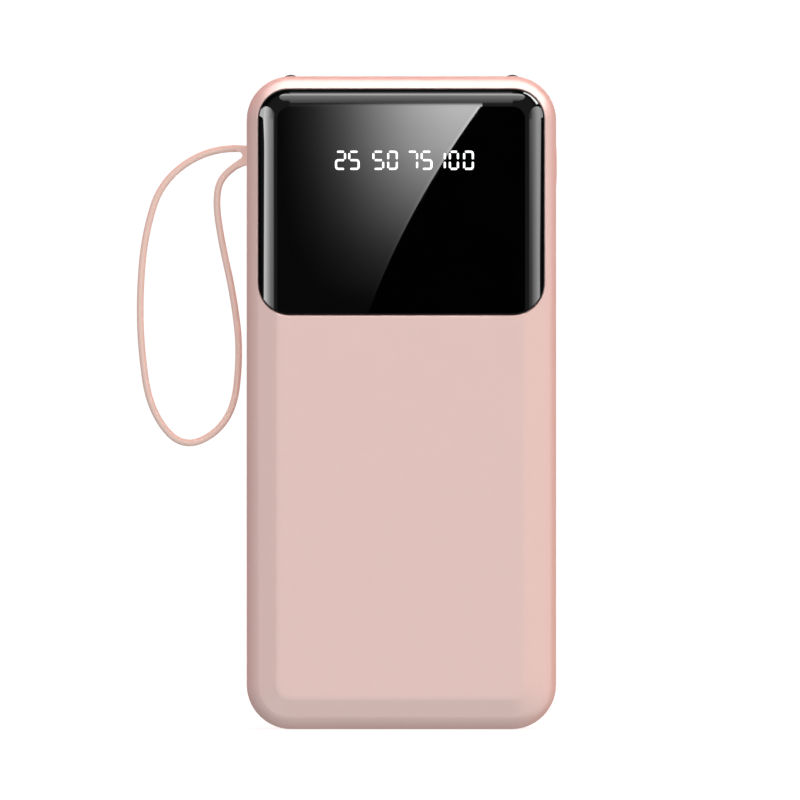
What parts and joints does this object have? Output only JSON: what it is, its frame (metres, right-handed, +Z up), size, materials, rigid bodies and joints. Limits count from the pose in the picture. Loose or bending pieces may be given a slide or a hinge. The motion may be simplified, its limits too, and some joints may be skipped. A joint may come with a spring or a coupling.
{
  "type": "power bank",
  "caption": "Upright pocket power bank with a glossy display window, USB sockets and torch lamps in its top, a side button and a wrist strap loop.",
  "frame": {"origin": "centre of the base end's flat, with the power bank standing on it", "axes": "+Z up along the length to the sockets, -Y out of the front with the window, +X to the right seen from the front (the button's side)"},
  "size_m": [0.0922, 0.022, 0.1435],
  "materials": {
    "shell_plastic": "soft-touch matt, pale pink",
    "window_gloss": "polished black",
    "plate_gloss": "polished dark grey",
    "lamp_resin": "smoky translucent resin",
    "port_steel": "nickel plated",
    "insulator_plastic": "moulded black",
    "contact_gold": "gold plated",
    "housing_plastic": "moulded black",
    "display_digits": "lit white",
    "led_chip": "moulded",
    "board_laminate": "green solder mask",
    "screw_steel": "zinc plated",
    "stem_plastic": "moulded ivory",
    "tinned_wire": "tinned",
    "ferrite": "pressed iron powder",
    "chip_epoxy": "moulded epoxy",
    "ceramic_tan": "fired ceramic",
    "capacitor_can": "drawn can",
    "cell_pouch": "embossed laminate",
    "cell_tab": "nickel strip",
    "adhesive_tape": "black double-sided tape",
    "amber_tape": "polyimide tape",
    "foam": "soft foam",
    "wire_red": "silicone wire",
    "wire_black": "silicone wire",
    "insulation_film": "fish paper",
    "strap_silicone": "matt silicone, pale pink"
  },
  "bodies": {
    "casing": {"battery_cell_front": "cell_pouch", "battery_cell_rear": "cell_pouch", "battery_lead_negative": "wire_black", "battery_lead_positive": "wire_red", "battery_tabs_front": "cell_tab", "battery_tabs_rear": "cell_tab", "board_screws": "screw_steel", "cell_tape": "adhesive_tape", "ceramic_capacitors": "ceramic_tan", "chip_resistors": "chip_epoxy", "controller_chip": "chip_epoxy", "display_housing": "housing_plastic", "display_leds": "led_chip", "display_segments": "display_digits", "display_window": "window_gloss", "foam_pad_front": "foam", "foam_pad_rear": "foam", "front_shell": "shell_plastic", "insulation_sheet": "insulation_film", "main_board": "board_laminate", "port_plate": "plate_gloss", "power_inductors": "ferrite", "power_transistors": "chip_epoxy", "protection_board": "board_laminate", "protection_chips": "chip_epoxy", "rear_shell": "shell_plastic", "round_capacitors": "capacitor_can", "strap_root": "strap_silicone", "switch_body": "housing_plastic", "switch_cover": "port_steel", "switch_dome": "port_steel", "switch_terminals": "tinned_wire", "tab_tape": "amber_tape", "torch_lamp_leads": "tinned_wire", "torch_lamp_left": "lamp_resin", "torch_lamp_right": "lamp_resin", "usb_a_left_contacts": "contact_gold", "usb_a_left_insulator": "insulator_plastic", "usb_a_left_shell": "port_steel", "usb_a_right_contacts": "contact_gold", "usb_a_right_insulator": "insulator_plastic", "usb_a_right_shell": "port_steel", "usb_c_contacts": "contact_gold", "usb_c_insulator": "insulator_plastic", "usb_c_shell": "port_steel", "window_adhesive": "adhesive_tape", "wrist_strap": "strap_silicone"},
    "power_button": {"power_button": "shell_plastic", "switch_stem": "stem_plastic"}
  },
  "joints": [
    {"name": "power_button_press", "type": "slide", "parent": "casing", "child": "power_button", "axis": [-1, 0, 0], "range_m": [0, 0.00025], "stiffness_N_per_m": 800, "springref_m": -0.0002}
  ]
}
